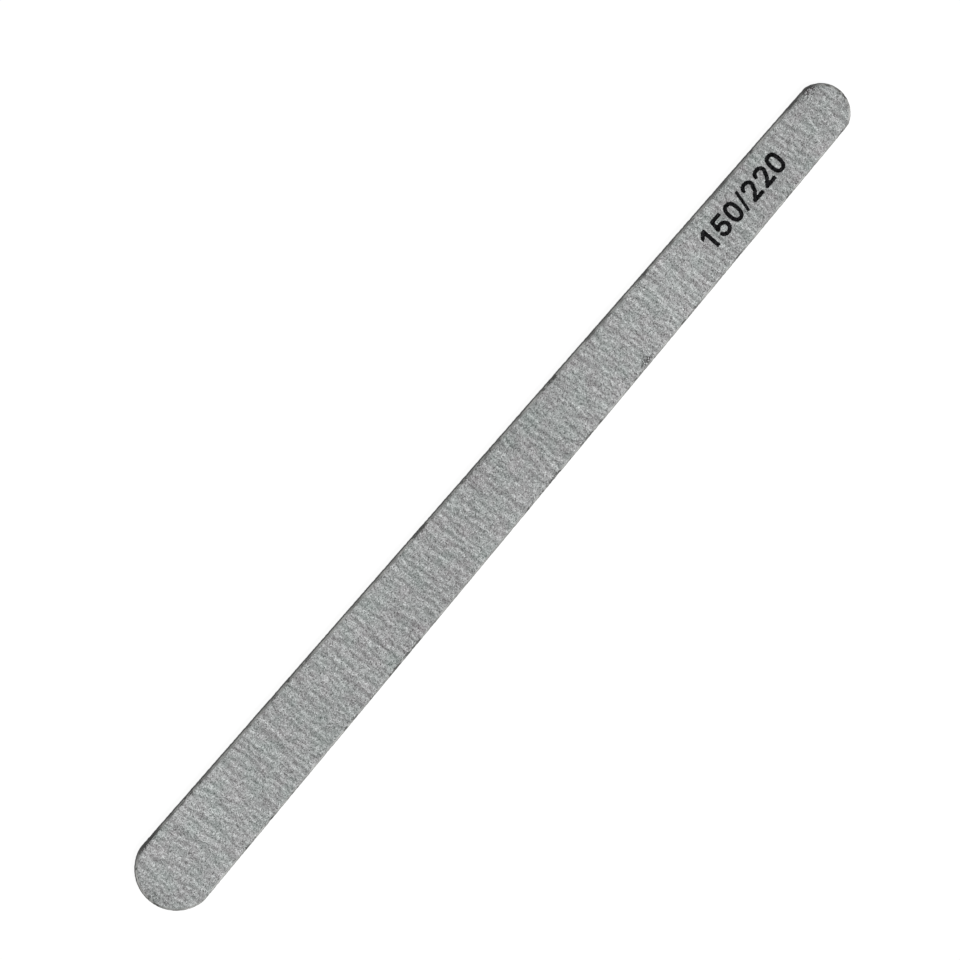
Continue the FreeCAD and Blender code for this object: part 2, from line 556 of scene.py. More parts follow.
class Graph:
    """A node tree that is being drawn."""

    def __init__(self, tree: bpy.types.NodeTree) -> None:
        """Starts on the tree to draw in."""
        self.tree = tree

    def feed(self, socket: Socket, value: Feed) -> None:
        """Joins a socket to another, or sets it to a plain value.

        Args:
            socket: The socket to feed.
            value: Another node's socket, a number or several numbers.
        """
        if isinstance(value, bpy.types.NodeSocket):
            self.tree.links.new(value, socket)
        elif isinstance(value, (int, float)):
            socket.default_value = value
        else:
            whole = (*value, 1.0) if socket.type == "RGBA" and len(value) == 3 else tuple(value)
            socket.default_value = whole

    def fill(self, node: bpy.types.Node, feeds: Feeds) -> None:
        """Feeds several of a node's sockets, by name or number."""
        for name, value in feeds.items():
            self.feed(node.inputs[name], value)

    def add(self, kind: str, feeds: Optional[Feeds] = None, **settings: object) -> bpy.types.Node:
        """Adds a node.

        Args:
            kind: Its type, without the words that all of them start with.
            feeds: What goes into its sockets, by name or number.
            **settings: Its other settings.

        Returns:
            The new node.
        """
        node = self.tree.nodes.new("ShaderNode" + kind)
        for name, value in settings.items():
            setattr(node, name, value)
        self.fill(node, feeds or {})
        return node

    def sum(self, operation: str, first: Feed, second: Feed = 0.0, third: Feed = 0.0) -> Socket:
        """The answer of a sum on up to three numbers, by Blender's name for the operation."""
        return self.add("Math", {0: first, 1: second, 2: third}, operation=operation).outputs[0]

    def product(self, first: Feed, *others: Feed) -> Feed:
        """Multiplies numbers.

        Args:
            first: The first number.
            *others: The other numbers.

        Returns:
            The socket that holds the answer.
        """
        for other in others:
            first = self.sum("MULTIPLY", first, other)
        return first

    def shade(self, value: Feed, middle: float, spread: Feed) -> Socket:
        """A shade of about 1 from a value that changes by chance round its middle."""
        return self.sum("MULTIPLY_ADD", self.sum("SUBTRACT", value, middle), spread, 1.0)

    def noise(self, place: Feed, scale: Feed, detail: float, roughness: float = 0.5) -> Socket:
        """Smooth noise from 0 to 1, with the scale as its patches to a metre."""
        feeds = {"Vector": place, "Scale": scale, "Detail": detail, "Roughness": roughness}
        return self.add("TexNoise", feeds).outputs["Fac"]

    def stretch(self, place: Feed, factors: Feed) -> Socket:
        """A place with each of its three parts multiplied by a factor of its own."""
        return self.add("VectorMath", {0: place, 1: factors}, operation="MULTIPLY").outputs[0]

    def scale(self, colour: Feed, factor: Feed) -> Socket:
        """A colour multiplied by a number."""
        return self.add("VectorMath", {"Vector": colour, "Scale": factor}, operation="SCALE").outputs[0]

    def mix(self, factor: Feed, first: Feed, second: Feed, blend: str = "MIX") -> Socket:
        """A mixture of two colours, with the factor as the second one's share."""
        feeds = {0: factor, 6: first, 7: second}
        return self.add("Mix", feeds, data_type="RGBA", blend_type=blend).outputs[2]

    def span(self, value: Feed, old: tuple[Feed, Feed], new: tuple[Feed, Feed]) -> Socket:
        """A number carried over from one span to another, and held at its ends."""
        feeds = {"Value": value, "From Min": old[0], "From Max": old[1], "To Min": new[0], "To Max": new[1]}
        return self.add("MapRange", feeds).outputs[0]

    def carried(self, trait: Trait) -> Socket:
        """The socket that holds a value carried by the mesh."""
        return self.add("Attribute", attribute_name=trait.value).outputs["Fac"]

    def place(self) -> Socket:
        """The socket that holds the place on the board, in metres."""
        return self.add("TexCoord").outputs["Object"]

    def group(self, effect: type["Effect"], feeds: Feeds) -> bpy.types.NodeOutputs:
        """The outputs of an effect that is placed with these inputs."""
        return self.add("Group", feeds, node_tree=effect.made()).outputs


class Effect(Graph):
    """A node group that several finishes use.

    Attributes:
        name: The group's name.
        inputs: Kinds of its inputs, by their names.
        outputs: Kinds of its outputs, by their names.
        noise_middle: Middle of smooth noise.
        entry: The sockets that bring the inputs in.
    """

    name = ""
    inputs: dict[str, str] = {}
    outputs: dict[str, str] = {}
    noise_middle = 0.5

    def __init__(self) -> None:
        """Makes the group and draws its nodes."""
        super().__init__(bpy.data.node_groups.new(self.name, "ShaderNodeTree"))
        for in_out, sockets in (("INPUT", self.inputs), ("OUTPUT", self.outputs)):
            for name, kind in sockets.items():
                self.tree.interface.new_socket(name=name, in_out=in_out, socket_type="NodeSocket" + kind)
        self.entry = self.tree.nodes.new("NodeGroupInput").outputs
        self.fill(self.tree.nodes.new("NodeGroupOutput"), self.draw())

    @classmethod
    def made(cls) -> bpy.types.NodeTree:
        """The group, made the first time that it is asked for."""
        return bpy.data.node_groups.get(cls.name) or cls().tree

    def draw(self) -> dict[str, Socket]:
        """Draws the group's nodes, and gives the socket for each output."""
        raise NotImplementedError


class Speckle(Effect):
    """Grains of slightly different shades, and a few that glint.

    Attributes:
        finer: Small grains to each large one, along a line.
        middle: Middle of the three chance values that add up to a shade.
    """

    name = "Speckle"
    inputs = {"Place": "Vector", "Grains per metre": "Float", "Spread": "Float", "Glint share": "Float"}
    outputs = {"Shade": "Float", "Glint": "Float", "Height": "Float"}
    finer = 1.9
    middle = 1.5

    def draw(self) -> dict[str, Socket]:
        """Two sizes of cells, each cell with a shade of its own.

        Returns:
            The socket for each output.
        """
        grains = self.entry["Grains per metre"]
        scales = (grains, self.sum("MULTIPLY", grains, self.finer))
        nodes = [self.add("TexVoronoi", {"Vector": self.entry["Place"], "Scale": scale}) for scale in scales]
        large, small = (self.add("SeparateColor", {0: node.outputs["Color"]}).outputs for node in nodes)
        three = self.sum("ADD", self.sum("ADD", large["Red"], large["Green"]), small["Red"])
        bar = self.sum("SUBTRACT", 1.0, self.entry["Glint share"])
        return {
            "Shade": self.shade(three, self.middle, self.entry["Spread"]),
            "Glint": self.sum("GREATER_THAN", small["Blue"], bar),
            "Height": nodes[0].outputs["Distance"],
        }


class Drift(Effect):
    """Slow changes of tint over a surface, from a cool one to a warm one.

    Attributes:
        tint_span: Span of the noise between the coolest and the warmest tint.
        broad_share: Long stretches of shade to each patch of tint, along a line.
    """

    name = "Drift"
    inputs = {
        "Place": "Vector", "Patches per metre": "Float", "Cool": "Color", "Warm": "Color", "Spread": "Float",
    }
    outputs = {"Tint": "Color", "Shade": "Float"}
    tint_span = (0.2, 0.8)
    broad_share = 0.1

    def draw(self) -> dict[str, Socket]:
        """A tint from one noise and a shade from a broader one.

        Returns:
            The socket for each output.
        """
        place, patches = self.entry["Place"], self.entry["Patches per metre"]
        warmth = self.span(self.noise(place, patches, detail=2.0), self.tint_span, (0.0, 1.0))
        slow = self.noise(place, self.sum("MULTIPLY", patches, self.broad_share), detail=1.0)
        return {
            "Tint": self.mix(warmth, self.entry["Cool"], self.entry["Warm"]),
            "Shade": self.shade(slow, self.noise_middle, self.entry["Spread"]),
        }


class Chips(Effect):
    """Dark chips and stains along the rim, more of them in some stretches than in others.

    Attributes:
        raggedness: Strength of the finer breaks in a chip's border.
        stretches: Stretches to a metre.
        unevenness: How much more readily some stretches chip than others.
    """

    name = "Chips"
    inputs = {
        "Place": "Vector", "Chips per metre": "Float", "Edge": "Float", "Reach": "Float", "Share": "Float",
        "Softness": "Float",
    }
    outputs = {"Mask": "Float"}
    raggedness = 0.62
    stretches = 150.0
    unevenness = 0.7

    def draw(self) -> dict[str, Socket]:
        """Fine noise with a bar to pass that rises away from the outline.

        Returns:
            The socket for each output.
        """
        place, chips = self.entry["Place"], self.entry["Chips per metre"]
        fine = self.noise(place, chips, detail=5.0, roughness=self.raggedness)
        slow = self.noise(place, self.stretches, detail=1.0)
        level = self.sum("MULTIPLY_ADD", self.sum("SUBTRACT", slow, self.noise_middle), self.unevenness, fine)
        rise = self.sum("DIVIDE", self.entry["Edge"], self.entry["Reach"])
        bar = self.sum("ADD", rise, self.sum("SUBTRACT", 1.0, self.entry["Share"]))
        passed = self.sum("SUBTRACT", level, bar)
        return {"Mask": self.span(passed, (0.0, self.entry["Softness"]), (0.0, 1.0))}


class DieMarks(Effect):
    """Upright lines that the die leaves on a cut edge, with torn spots between them.

    Attributes:
        raggedness: Strength of the finer lines.
    """

    name = "Die marks"
    inputs = {"Place": "Vector", "Marks per metre": "Float", "Stretch": "Float", "Spread": "Float"}
    outputs = {"Shade": "Float", "Height": "Float"}
    raggedness = 0.65

    def draw(self) -> dict[str, Socket]:
        """Noise that is drawn out along the board's thickness.

        Returns:
            The socket for each output.
        """
        factors = self.add("CombineXYZ", {"X": 1.0, "Y": 1.0, "Z": self.entry["Stretch"]}).outputs[0]
        place = self.stretch(self.entry["Place"], factors)
        lines = self.noise(place, self.entry["Marks per metre"], detail=4.0, roughness=self.raggedness)
        return {"Shade": self.shade(lines, self.noise_middle, self.entry["Spread"]), "Height": lines}


def new_material(name: str) -> tuple[bpy.types.Material, Graph, bpy.types.Node]:
    """Starts a material.

    Args:
        name: Its name.

    Returns:
        The material, its node graph and its Principled shader.
    """
    material = bpy.data.materials.new(name)
    material.use_nodes = True
    return material, Graph(material.node_tree), material.node_tree.nodes["Principled BSDF"]


@dataclass(frozen=True)
class GritFinish:
    """Grey abrasive grain in resin.

    Args:
        name: The finish's name.
        tone: Its usual colour.
        streak: Spread of the shade from streak to trough: partly resin lying in the troughs, partly painted
            shade of the ripples' relief.
        spread: Spread of the shade from grain to grain.
        grains: Grains to a metre.
        glint_share: Share of the grains that glint.
        painted_glint_lift: Painted glint: how much lighter the colour of those grains is made, beside their
            real lower roughness.
        drawn_out: Length of the grains along the board, as a share of that across.
        roughness: Roughness of the grains, and of those that glint.
        bump: Strength of the grains' relief.
        relief: Depth of that relief.
        rim_painted_shade: Painted shade of the coat where it ends at the rim, darker towards the rolled edge.
        rim_painted_shade_reach: Distances in from the outline between which that painted shade fades, in
            millimetres.
        rub_shade: Shade of a grain that is rubbed dark.
        rub_catch: How readily the darkest grains are rubbed.
        rub_fall: How much less readily the brighter ones are.
        worn: Colour of the chips at the rim.
        chips: Chips to a metre.
        chip_share: How readily the outermost rim chips, from 0 for nowhere to 1 for everywhere.
        chip_reach: How far in from the outline nothing chips any more, in millimetres.
        chip_softness: Softness of their borders.
        cool: Tint of the coolest patches.
        warm: Tint of the warmest patches.
        patches: Patches to a metre.
        slow_spread: Spread of the shade over long stretches.
    """

    name: str
    tone: Colour
    streak: float
    spread: float
    grains: float
    glint_share: float
    painted_glint_lift: float = 0.35
    drawn_out: float = 0.8
    roughness: Span = (0.82, 0.4)
    bump: float = 0.35
    relief: float = 0.02 * MM
    rim_painted_shade: float = 0.98
    rim_painted_shade_reach: Span = (0.35, 1.05)
    rub_shade: float = 0.14
    rub_catch: float = 3.0
    rub_fall: float = 2.2
    worn: Colour = linear(70, 71, 70)
    chips: float = 2600.0
    chip_share: float = 0.53
    chip_reach: float = 3.0
    chip_softness: float = 0.08
    cool: Colour = (0.969, 1.027, 1.004)
    warm: Colour = (1.041, 0.979, 1.002)
    patches: float = 340.0
    slow_spread: float = 0.42

    def build(self) -> bpy.types.Material:
        """Makes the material.

        Returns:
            The new material.
        """
        material, graph, shader = new_material(self.name)
        place = graph.place()
        edge = graph.carried(Trait.EDGE)
        speckle = graph.group(Speckle, {
            "Place": graph.stretch(place, (1.0, self.drawn_out, 1.0)), "Grains per metre": self.grains,
            "Spread": self.spread, "Glint share": self.glint_share,
        })
        drift = graph.group(Drift, {
            "Place": place, "Patches per metre": self.patches, "Cool": self.cool, "Warm": self.warm,
            "Spread": self.slow_spread,
        })
        chips = graph.group(Chips, {
            "Place": place, "Chips per metre": self.chips, "Edge": edge, "Reach": self.chip_reach,
            "Share": self.chip_share, "Softness": self.chip_softness,
        })
        # Partly painted shade: the colour follows the ripples' height, lighter on their crests and darker in
        # their troughs.
        streak = graph.sum("MULTIPLY_ADD", graph.carried(Trait.RIPPLE), self.streak, 1.0)
        catch = graph.sum("MULTIPLY_ADD", speckle["Shade"], -self.rub_fall, self.rub_catch)
        rub = graph.span(graph.product(graph.carried(Trait.RUB), catch), (0, 1), (1.0, self.rub_shade))
        # Painted glint: the colour of glinting grains is lifted as a highlight, on top of their real lower
        # roughness.
        glint = graph.sum("MULTIPLY_ADD", speckle["Glint"], self.painted_glint_lift, 1.0)
        # Painted shade: the coat's colour darkens towards its rolled-over rim, standing in for the shade that
        # falls there.
        rim = graph.span(edge, self.rim_painted_shade_reach, (self.rim_painted_shade, 1.0))
        shade = graph.product(speckle["Shade"], drift["Shade"], streak, rub, glint, rim)
        tinted = graph.add("VectorMath", {0: drift["Tint"], 1: graph.sum("SUBTRACT", shade, 1.0)}).outputs[0]
        colour = graph.mix(1.0, tinted, self.tone, "MULTIPLY")
        relief = {"Strength": self.bump, "Distance": self.relief, "Height": speckle["Height"]}
        graph.fill(shader, {
            "Base Color": graph.mix(chips["Mask"], colour, self.worn),
            "Roughness": graph.span(speckle["Glint"], (0, 1), self.roughness),
            "Normal": graph.add("Bump", relief).outputs[0],
        })
        return material


@dataclass(frozen=True)
class CutEdgeFinish:
    """The die-cut edge of an inner layer.

    Args:
        name: The finish's name, which is also that of the record's material slot.
        tone: Its usual colour.
        spread: Spread of the shade from mark to mark.
        marks: Marks to a metre.
        stretch: Shortness of the marks up the edge, from 0 for marks with no end.
        roughness: Least and greatest roughness.
        relief: Depth of the marks.
        chip_tone: Colour of the chips.
        bump: Strength of the marks' relief.
        mark_span: Span of the marks over which the roughness changes.
        chips: Chips to a metre.
        chip_share: How readily the edge chips, from 0 for nowhere to 1 for everywhere.
        chip_softness: Softness of their borders.
        rub_shade: Shade of the edge where it is rubbed dark.
        cool: Tint of the coolest patches.
        warm: Tint of the warmest patches.
        patches: Patches to a metre.
        slow_spread: Spread of the shade over long stretches.
    """

    name: str
    tone: Colour
    spread: float
    marks: float
    stretch: float
    roughness: Span
    relief: float
    chip_tone: Colour
    bump: float = 0.6
    mark_span: Span = (0.3, 0.7)
    chips: float = 900.0
    chip_share: float = 0.44
    chip_softness: float = 0.1
    rub_shade: float = 0.12
    cool: Colour = (0.98, 1.016, 1.004)
    warm: Colour = (1.023, 0.986, 0.996)
    patches: float = 4000.0
    slow_spread: float = 2.1

    def build(self) -> bpy.types.Material:
        """Makes the material.

        Returns:
            The new material.
        """
        material, graph, shader = new_material(self.name)
        place = graph.place()
        marks = graph.group(DieMarks, {
            "Place": place, "Marks per metre": self.marks, "Stretch": self.stretch, "Spread": self.spread,
        })
        drift = graph.group(Drift, {
            "Place": place, "Patches per metre": self.patches, "Cool": self.cool, "Warm": self.warm,
            "Spread": self.slow_spread,
        })
        chips = graph.group(Chips, {
            "Place": place, "Chips per metre": self.chips, "Edge": 0.0, "Reach": 1.0,
            "Share": self.chip_share, "Softness": self.chip_softness,
        })
        rub = graph.span(graph.carried(Trait.RUB), (0, 1), (1.0, self.rub_shade))
        shade = graph.product(marks["Shade"], drift["Shade"], rub)
        colour = graph.mix(1.0, graph.scale(drift["Tint"], shade), self.tone, "MULTIPLY")
        relief = {"Strength": self.bump, "Distance": self.relief, "Height": marks["Height"]}
        graph.fill(shader, {
            "Base Color": graph.mix(chips["Mask"], colour, self.chip_tone),
            "Roughness": graph.span(marks["Height"], self.mark_span, self.roughness),
            "Normal": graph.add("Bump", relief).outputs[0],
        })
        return material


@dataclass(frozen=True)
class InkFinish:
    """Black printing ink that lies over the grain.

    Args:
        name: The finish's name.
        tone: Its usual colour.
        spread: Spread of the shade from grain to grain.
        grains: Grains to a metre.
        least_shade: Shade of the darkest grains.
        roughness: Least and greatest roughness.
        shade_span: Span of the shade over which the roughness changes.
        sheen: Level of the ink's shine.
    """

    name: str = "printed_ink"
    tone: Colour = linear(23, 23, 24)
    spread: float = 1.9
    grains: float = 3600.0
    least_shade: float = 0.1
    roughness: Span = (0.7, 0.95)
    shade_span: Span = (0.6, 1.4)
    sheen: float = 0.02

    def build(self) -> bpy.types.Material:
        """Makes the material.

        Returns:
            The new material.
        """
        material, graph, shader = new_material(self.name)
        speckle = graph.group(Speckle, {
            "Place": graph.place(), "Grains per metre": self.grains, "Spread": self.spread,
            "Glint share": 0.0,
        })
        shade = graph.sum("MAXIMUM", speckle["Shade"], self.least_shade)
        graph.fill(shader, {
            "Base Color": graph.scale(self.tone, shade),
            "Roughness": graph.span(speckle["Shade"], self.shade_span, self.roughness),
            "Specular IOR Level": self.sheen,
        })
        return material


# Pieces


def new_piece(name: str, points: np.ndarray, faces: Sequence[Sequence[int]], slot: str) -> bpy.types.Object:
    """Makes a piece of the board that rides with it.

    Args:
        name: The piece's name.
        points: Its points.
        faces: Point numbers of each face.
        slot: Not used; names the record's material slot meant for the piece, or nothing.

    Returns:
        The new object.
    """
    mesh = bpy.data.meshes.new(name)
    mesh.from_pydata(points.tolist(), [], [list(map(int, face)) for face in faces])
    mesh.validate()
    piece = bpy.data.objects.new(name, mesh)
    bpy.context.scene.collection.objects.link(piece)
    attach(piece, BODY)
    return piece


def carry(piece: bpy.types.Object, trait: Trait, values: np.ndarray) -> None:
    """Gives a mesh a value at each point for its finish to read.

    Args:
        piece: The piece.
        trait: What the values are.
        values: One value for each point.
    """
    attribute = piece.data.attributes.new(trait.value, "FLOAT", "POINT")
    attribute.data.foreach_set("value", values.astype(np.float32))


def lay_out(piece: bpy.types.Object, places: np.ndarray) -> None:
    """Gives a mesh a flat map of its faces.

    Args:
        piece: The piece.
        places: One place for each face corner.
    """
    layer = piece.data.uv_layers.new(name=BAKE_MAP)
    layer.uv.foreach_set("vector", places.astype(np.float32).ravel())


def rubbed(points: np.ndarray, scuffs: Iterable[Scuff]) -> np.ndarray:
    """How far points are rubbed dark by the strongest of several scuffs.

    Args:
        points: The points.
        scuffs: The scuffed spots.

    Returns:
        A strength for each point, 0 where nothing rubs.
    """
    return np.max([np.zeros(len(points)), *(scuff.at(points) for scuff in scuffs)], axis=0)


@dataclass(frozen=True)
class Grit:
    """What an abrasive face is made of.

    Args:
        finish: The face's finish.
        ripple: The face's streaks.
        grain_height: Spread of the grains' heights.
        ripple_height: Spread of the streaks' heights.
        bed_depth: Depth of the grains' middle below the face.
    """

    finish: GritFinish
    ripple: Ripple
    grain_height: float
    ripple_height: float
    bed_depth: float


@dataclass
class GrainCoat:
    """One abrasive face: a crust of grains that rolls over the rim.

    Args:
        outline: The board's outline.
        rim: The board's rim.
        face: Which face it is.
        grit: What it is made of.
        scuffs: Its scuffed spots.
        step: Spacing of the points.
        rim_steps: Distances from the coat's edge of the closer lines that follow the rim.
        shake_share: Most that a point moves by chance, as a share of the spacing.
        calm: Distances in from the outline between which that moving sets in.
        fray_share: Most that the edge is drawn in by chance, as a share of the way to the next line.
        peak_room: Room above the highest grains.
        pit_share: Depth of the deepest pits, as a share of the coat's thickness.
        map_tiles: Tiles along each side of the flat map.
        map_margin: Share of a tile that stays free on each side.
        points: The coat's points, once it is built.
        faces: Its outer faces, once it is built.
    """

    outline: Outline
    rim: RimProfile
    face: Face
    grit: Grit
    scuffs: Sequence[Scuff] = ()
    step: float = 0.17 * MM
    rim_steps: Sequence[float] = (0.0, 0.06 * MM, 0.13 * MM, 0.21 * MM, 0.31 * MM)
    shake_share: float = 0.32
    calm: Span = (0.3 * MM, 0.7 * MM)
    fray_share: float = 0.7
    peak_room: float = 0.008 * MM
    pit_share: float = 0.8
    map_tiles: int = 4
    map_margin: float = 0.03
    points: np.ndarray = field(init=False)
    faces: np.ndarray = field(init=False)

    @property
    def node(self) -> str:
        """The CAD node that the coat stands for."""
        return f"{self.face.word}_grain_coat"

    def build(self) -> bpy.types.Object:
        """Makes the coat.

        Returns:
            The new piece.
        """
        low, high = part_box(self.node)
        thickness = high.z - low.z
        skin, bed = (high.z, low.z) if self.face is Face.COARSE else (low.z, high.z)
        inset = float(self.rim.inset(np.array(bed)))
        random = np.random.default_rng(self.grit.ripple.seed)
        sheet = Sheet(self.outline, inset, self.step, self.rim_steps)
        sheet.shaken(random, self.shake_share, self.calm)
        sheet.frayed(random, self.fray_share)
        ripple = self.grit.ripple.at(sheet.x, sheet.y)
        rise = self.grit.grain_height * random.normal(size=sheet.shape) + self.grit.ripple_height * ripple
        settled = smooth_step(inset, self.rim.radius, sheet.edge)
        pit = np.clip(self.grit.bed_depth - rise, self.peak_room, self.pit_share * thickness) * settled
        fall = np.minimum(self.rim.drop(sheet.edge) + pit, thickness)
        heights = skin - self.face.value * fall
        self.points = np.stack([sheet.x, sheet.y, heights], -1).reshape(-1, 3)
        self.faces = sheet.triangles(random)
        border = sheet.border()
        self.points[border, 2] = bed
        faces = np.concatenate([self.faces, self._underside(border)])
        if self.face is Face.FINE:
            faces = faces[:, ::-1]
        piece = new_piece(f"{self.node}_grit", self.points, faces, f"{self.face.word}_grain")
        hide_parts(self.node)
        carry(piece, Trait.RIPPLE, ripple.ravel())
        carry(piece, Trait.EDGE, (sheet.edge / MM).ravel())
        carry(piece, Trait.RUB, rubbed(self.points, self.scuffs))
        lay_out(piece, self._map(faces, len(self.faces)))
        piece.data.materials.append(self.grit.finish.build())
        return piece

    @staticmethod
    def _underside(border: np.ndarray) -> np.ndarray:
        """Closes the coat underneath.

        Args:
            border: Point numbers round the coat's edge.

        Returns:
            Faces that lie flat between the two sides.
        """
        half = len(border) // 2
        near, far = border[: half + 1], border[np.arange(0, -half - 1, -1)]
        first = np.stack([near[:-1], far[1:], near[1:]], 1)
        second = np.stack([near[:-1], far[:-1], far[1:]], 1)
        faces = np.concatenate([first, second])
        distinct = [len(set(face)) == 3 for face in faces.tolist()]
        return faces[distinct]

    def _map(self, faces: np.ndarray, shown: int) -> np.ndarray:
        """Lays the coat out in square tiles, each a stretch of the board, and the underside in the last one.

        Args:
            faces: Point numbers of each face.
            shown: How many of the faces, the first ones, are on the outside.

        Returns:
            A place on the map for each face corner.
        """
        corners = self.points[faces][:, :, :2]
        share = corners / np.array([self.outline.length, self.outline.wide_width]) + 0.5
        stretches = self.map_tiles**2 - 1
        tile = np.clip(np.floor(share[:, :, 0].mean(1) * stretches), 0, stretches - 1).astype(int)
        within = share.copy()
        within[:, :, 0] = share[:, :, 0] * stretches - tile[:, None]
        within[shown:] = share[shown:]
        tile[shown:] = stretches
        corner = np.stack([tile % self.map_tiles, tile // self.map_tiles], 1)[:, None, :]
        placed = corner + self.map_margin + within * (1 - 2 * self.map_margin)
        return (placed / self.map_tiles).reshape(-1, 2)


@dataclass(frozen=True)
class EdgeStock:
    """What an inner layer is made of, and how the die leaves its edge.

    Args:
        finish: The edge's finish.
        rows: Rows of faces up the edge.
        recess: How far the edge stands in behind its neighbours.
        marks: Depth of the upright marks that the die leaves.
        tear: Depth of the torn, uneven part of the edge.
    """

    finish: CutEdgeFinish
    rows: int
    recess: float
    marks: float
    tear: float

    @cached_property
    def material(self) -> bpy.types.Material:
        """The finish's material, made once for all layers of the stock."""
        return self.finish.build()


@dataclass
class EdgeLayer:
    """One inner layer of the laminate, which shows only at the board's die-cut edge.

    Args:
        ring: The board's outline as points.
        rim: The board's rim.
        node: The CAD node that the layer stands for.
        stock: What it is made of.
        seed: Picks the pattern.
        scuffs: Its scuffed spots.
        play: How far the die's cut strays inwards at its worst, alike in every layer.
        play_cell: Length of that straying.
        mark_width: Points that a mark of the die covers.
        fine_share: Strength of the marks that are one point wide, as a share of the others.
        tear_share: Share of the tearing that is left at the top of the edge.
        map_runs: Runs in which the edge is laid out on the flat map.
        map_share: Share of the map that the flat sides take up.
    """

    ring: Ring
    rim: RimProfile
    node: str
    stock: EdgeStock
    seed: int
    scuffs: Sequence[Scuff] = ()
    play: float = 0.024 * MM
    play_cell: float = 0.9 * MM
    mark_width: int = 5
    fine_share: float = 0.5
    tear_share: float = 0.35
    map_runs: int = 12
    map_share: float = 0.5

    def build(self) -> bpy.types.Object:
        """Makes the layer.

        Returns:
            The new piece.
        """
        low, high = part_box(self.node)
        heights = np.linspace(low.z, high.z, self.stock.rows + 1)
        rings = [np.column_stack([self.ring.at(inset), np.full(self.ring.count, z)])
                 for inset, z in zip(self._insets(heights), heights)]
        points = np.concatenate(rings)
        faces = self._faces()
        piece = new_piece(f"{self.node}_edge", points, faces, self.stock.finish.name)
        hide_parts(self.node)
        carry(piece, Trait.RUB, rubbed(points, self.scuffs))
        lay_out(piece, self._map(points, faces))
        piece.data.materials.append(self.stock.material)
        return piece

    def _insets(self, heights: np.ndarray) -> np.ndarray:
        """How far each row of points stands in from the outline.

        Args:
            heights: The rows' heights.

        Returns:
            An inset for each point of each row.
        """
        random = np.random.default_rng(self.seed)
        width = np.ones(self.mark_width) / self.mark_width
        chance = random.normal(size=self.ring.count)
        smooth = np.convolve(np.concatenate([chance, chance[: self.mark_width - 1]]), width, "valid")
        marks = self.stock.marks * np.abs(smooth + self.fine_share * chance)
        torn = self.stock.tear * np.abs(random.normal(size=(len(heights), self.ring.count)))
        torn *= np.linspace(1.0, self.tear_share, len(heights))[:, None]
        stray = self.play * np.abs(Grain(DIE_SEED, (self.play_cell, self.play_cell)).at(*self.ring.at(0.0).T))
        return self.rim.inset(heights)[:, None] + self.stock.recess + (marks + stray)[None, :] + torn

    def _faces(self) -> list[list[int]]:
        """The layer's faces: its edge, then its two flat sides.

        Returns:
            Point numbers of each face.
        """
        count = self.ring.count
        faces = []
        for low in range(0, self.stock.rows * count, count):
            for n in range(count):
                after = (n + 1) % count
                faces.append([low + after, low + n, low + count + n, low + count + after])
        for base, way in ((0, 1), (self.stock.rows * count, -1)):
            for n in range(count // 2):
                corners = dict.fromkeys([n, n + 1, (count - n - 1) % count, (count - n) % count])
                faces.append([base + corner for corner in corners][::way])
        return faces

    def _map(self, points: np.ndarray, faces: list[list[int]]) -> np.ndarray:
        """Lays the edge out in several runs one above another, and the flat sides below them.

        Args:
            points: The layer's points.
            faces: Point numbers of each face.

        Returns:
            A place on the map for each face corner.
        """
        run = self.ring.run()
        step = run[1] - run[0]
        along = run / (run[-1] + step) * self.map_runs
        lane = np.floor(along)
        left = along - lane
        right = left + step / (run[-1] + step) * self.map_runs
        levels = [(lane + row / self.stock.rows) / self.map_runs for row in range(self.stock.rows + 1)]
        levels = [self.map_share + level * (1 - self.map_share) for level in levels]
        walls = []
        for low, high in zip(levels, levels[1:]):
            corners = ((right, low), (left, low), (left, high), (right, high))
            walls.append(np.stack([np.stack(corner, 1) for corner in corners], 1).reshape(-1, 2))
        flat = (points[:, :2] - points[:, :2].min(0)) / np.ptp(points[:, :2], axis=0)
        top = self.stock.rows * self.ring.count
        sides = [
            (flat[corner, 0], (flat[corner, 1] + (corner >= top)) / 2 * self.map_share)
            for face in faces[top:]
            for corner in face
        ]
        return np.concatenate([*walls, sides])


@dataclass(frozen=True)
class Stroke:
    """One stroke of a numeral, as points that its middle line passes through.

    Args:
        width: The stroke's width.
        points: Places along and up the numeral.
    """

    width: float
    points: Sequence[Place]

    @staticmethod
    def arc(centre: Place, radii: Place, first: float, last: float, fullness: float = 1.0) -> list[Place]:
        """Points on part of an ellipse.

        Args:
            centre: The ellipse's centre.
            radii: Its half width and half height.
            first: Angle of the first point, in degrees from the right.
            last: Angle of the last point.
            fullness: 1 for an ellipse, and more for one that is fuller at its corners.

        Returns:
            The points in order.
        """
        degrees_apart = 8
        turns = np.radians(np.linspace(first, last, round(abs(last - first) / degrees_apart) + 1))
        sides = [np.sign(side) * np.abs(side) ** (1 / fullness) for side in (np.cos(turns), np.sin(turns))]
        return [(centre[0] + radii[0] * x, centre[1] + radii[1] * y) for x, y in zip(*sides)]

    def distance(self, x: np.ndarray, y: np.ndarray) -> np.ndarray:
        """Distance from places to the stroke's middle line.

        Args:
            x: Places along the numeral.
            y: Places up it.

        Returns:
            The distance of each place.
        """
        best = np.full(x.shape, np.inf)
        for (x0, y0), (x1, y1) in zip(self.points, self.points[1:]):
            run, rise = x1 - x0, y1 - y0
            share = np.clip(((x - x0) * run + (y - y0) * rise) / (run * run + rise * rise), 0, 1)
            best = np.minimum(best, np.hypot(x - x0 - share * run, y - y0 - share * rise))
        return best


Numeral = tuple[float, list[Stroke]]


